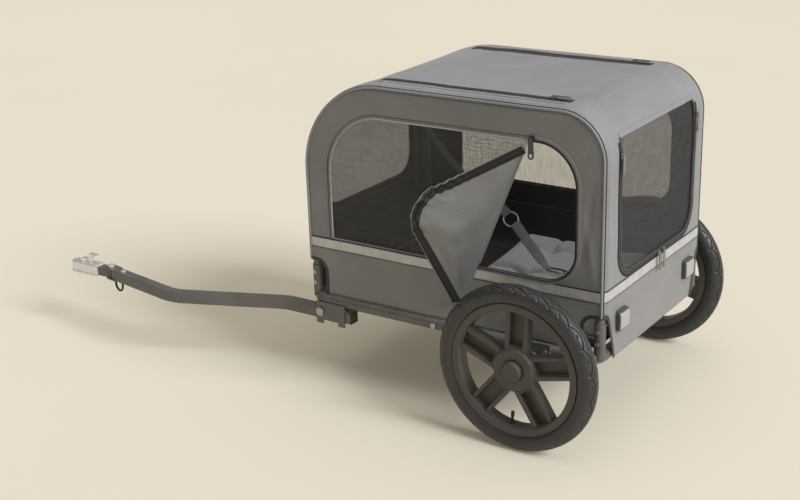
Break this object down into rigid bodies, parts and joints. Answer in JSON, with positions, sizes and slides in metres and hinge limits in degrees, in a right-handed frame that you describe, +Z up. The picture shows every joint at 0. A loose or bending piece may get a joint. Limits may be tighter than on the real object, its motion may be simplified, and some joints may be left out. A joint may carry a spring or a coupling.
{
  "type": "dog bike trailer",
  "caption": "Two-wheeled dog trailer: framed fabric cabin with mesh windows, zip door flap, cushion and tether, and a side tow arm with a ball coupler.",
  "frame": {"origin": "on the ground under the middle of the part's box", "axes": "+X to the rear, so the hitch is at -X; +Y to the right side, so the door and tow arm are at -Y; +Z up"},
  "size_m": [1.641, 0.798, 0.7918],
  "materials": {
    "frame_paint": "satin dark grey powder coat",
    "steel": "zinc plated",
    "zip_metal": "dark plated",
    "floor": "board covered in dark cloth",
    "cabin_cloth": "coated woven cloth, grey",
    "piping": "covered cord",
    "stripe": "light grey reflective tape",
    "net": "open dark mesh",
    "zip_tape": "coiled zip on black tape",
    "cushion": "padded woven cloth",
    "webbing": "flat woven webbing",
    "reflector_shell": "moulded",
    "reflector_lens": "clear prismatic",
    "tyre": "black rubber",
    "rim": "moulded dark plastic",
    "button": "moulded dark plastic"
  },
  "bodies": {
    "trailer": {"front_frame_bow": "frame_paint", "rear_frame_bow": "frame_paint", "floor_cross_tubes": "frame_paint", "corner_sockets": "frame_paint", "left_side_hoop": "frame_paint", "right_side_hoop": "frame_paint", "roof_crossbars": "frame_paint", "axle_brackets": "frame_paint", "tow_bracket": "frame_paint", "rail_joint_sleeves": "steel", "frame_bolts": "steel", "wheel_axles": "steel", "tether_hardware": "steel", "floor_board": "floor", "front_panel": "cabin_cloth", "roof_panel": "cabin_cloth", "rear_panel": "cabin_cloth", "left_side_panel": "cabin_cloth", "right_side_panel": "cabin_cloth", "front_skirt": "cabin_cloth", "rear_skirt": "cabin_cloth", "side_skirts": "cabin_cloth", "edge_piping": "piping", "reflective_stripe": "stripe", "front_mesh": "net", "rear_mesh": "net", "left_mesh": "net", "right_mesh": "net", "rear_zip_tape": "zip_tape", "roof_zip_tapes": "zip_tape", "door_zip_tape": "zip_tape", "cushion": "cushion", "tether_strap": "webbing", "reflector_housings": "reflector_shell", "reflector_lenses": "reflector_lens"},
    "left_wheel": {"left_tyre": "tyre", "left_rim": "rim", "left_bearings": "steel"},
    "right_wheel": {"right_tyre": "tyre", "right_rim": "rim", "right_bearings": "steel"},
    "left_button": {"left_release_button": "button"},
    "right_button": {"right_release_button": "button"},
    "arm": {"tow_arm": "frame_paint", "tow_arm_end_cap": "button", "tow_arm_bolt": "steel", "hitch_yoke": "frame_paint", "hitch_pivot_bolt": "steel", "safety_strap": "webbing"},
    "hitch": {"hitch_tongue": "steel", "coupler_body": "steel"},
    "lever": {"coupler_lever": "steel"},
    "flap": {"door_flap": "cabin_cloth"},
    "door_zip": {"door_slider": "zip_metal"},
    "left_roof_zip": {"left_roof_slider": "zip_metal"},
    "right_roof_zip": {"right_roof_slider": "zip_metal"},
    "left_rear_zip": {"left_rear_slider": "zip_metal"},
    "right_rear_zip": {"right_rear_slider": "zip_metal"},
    "left_low_zip": {"left_low_slider": "zip_metal"},
    "right_low_zip": {"right_low_slider": "zip_metal"}
  },
  "joints": [
    {"name": "left_wheel_spin", "type": "hinge", "parent": "trailer", "child": "left_wheel", "pos_m": [0.6205, -0.366, 0.2], "axis": [0, 1, 0], "continuous": true},
    {"name": "right_wheel_spin", "type": "hinge", "parent": "trailer", "child": "right_wheel", "pos_m": [0.6205, 0.366, 0.2], "axis": [0, 1, 0], "continuous": true},
    {"name": "left_button_press", "type": "slide", "parent": "trailer", "child": "left_button", "axis": [0, 1, 0], "range_m": [0, 0.004], "stiffness_N_per_m": 400},
    {"name": "right_button_press", "type": "slide", "parent": "trailer", "child": "right_button", "axis": [0, -1, 0], "range_m": [0, 0.004], "stiffness_N_per_m": 400},
    {"name": "arm_slide", "type": "slide", "parent": "trailer", "child": "arm", "axis": [-1, 0, 0], "range_m": [0, 0.11]},
    {"name": "hitch_turn", "type": "hinge", "parent": "arm", "child": "hitch", "pos_m": [-0.6745, -0.34, 0.18], "axis": [0, 0, 1], "range_deg": [-50, 50]},
    {"name": "lever_lift", "type": "hinge", "parent": "hitch", "child": "lever", "pos_m": [-0.7825, -0.34, 0.2005], "axis": [0, -1, 0], "range_deg": [0, 65]},
    {"name": "flap_fold", "type": "hinge", "parent": "trailer", "child": "flap", "pos_m": [0.4705, -0.2723, 0.394], "axis": [0.3789, 0, 0.9254], "range_deg": [-15, 144]},
    {"name": "door_zip_run", "type": "hinge", "parent": "trailer", "child": "door_zip", "pos_m": [0.6185, -0.2735, 0.604], "axis": [0, 1, 0], "range_deg": [0, 95]},
    {"name": "left_roof_zip_run", "type": "slide", "parent": "trailer", "child": "left_roof_zip", "axis": [-1, 0, 0], "range_m": [0, 0.4]},
    {"name": "left_rear_zip_run", "type": "slide", "parent": "trailer", "child": "left_rear_zip", "axis": [0, 0, -1], "range_m": [0, 0.2]},
    {"name": "left_low_zip_run", "type": "slide", "parent": "trailer", "child": "left_low_zip", "axis": [0, -1, 0], "range_m": [0, 0.1]},
    {"name": "right_roof_zip_run", "type": "slide", "parent": "trailer", "child": "right_roof_zip", "axis": [-1, 0, 0], "range_m": [0, 0.4]},
    {"name": "right_rear_zip_run", "type": "slide", "parent": "trailer", "child": "right_rear_zip", "axis": [0, 0, -1], "range_m": [0, 0.2]},
    {"name": "right_low_zip_run", "type": "slide", "parent": "trailer", "child": "right_low_zip", "axis": [0, 1, 0], "range_m": [0, 0.1]}
  ]
}
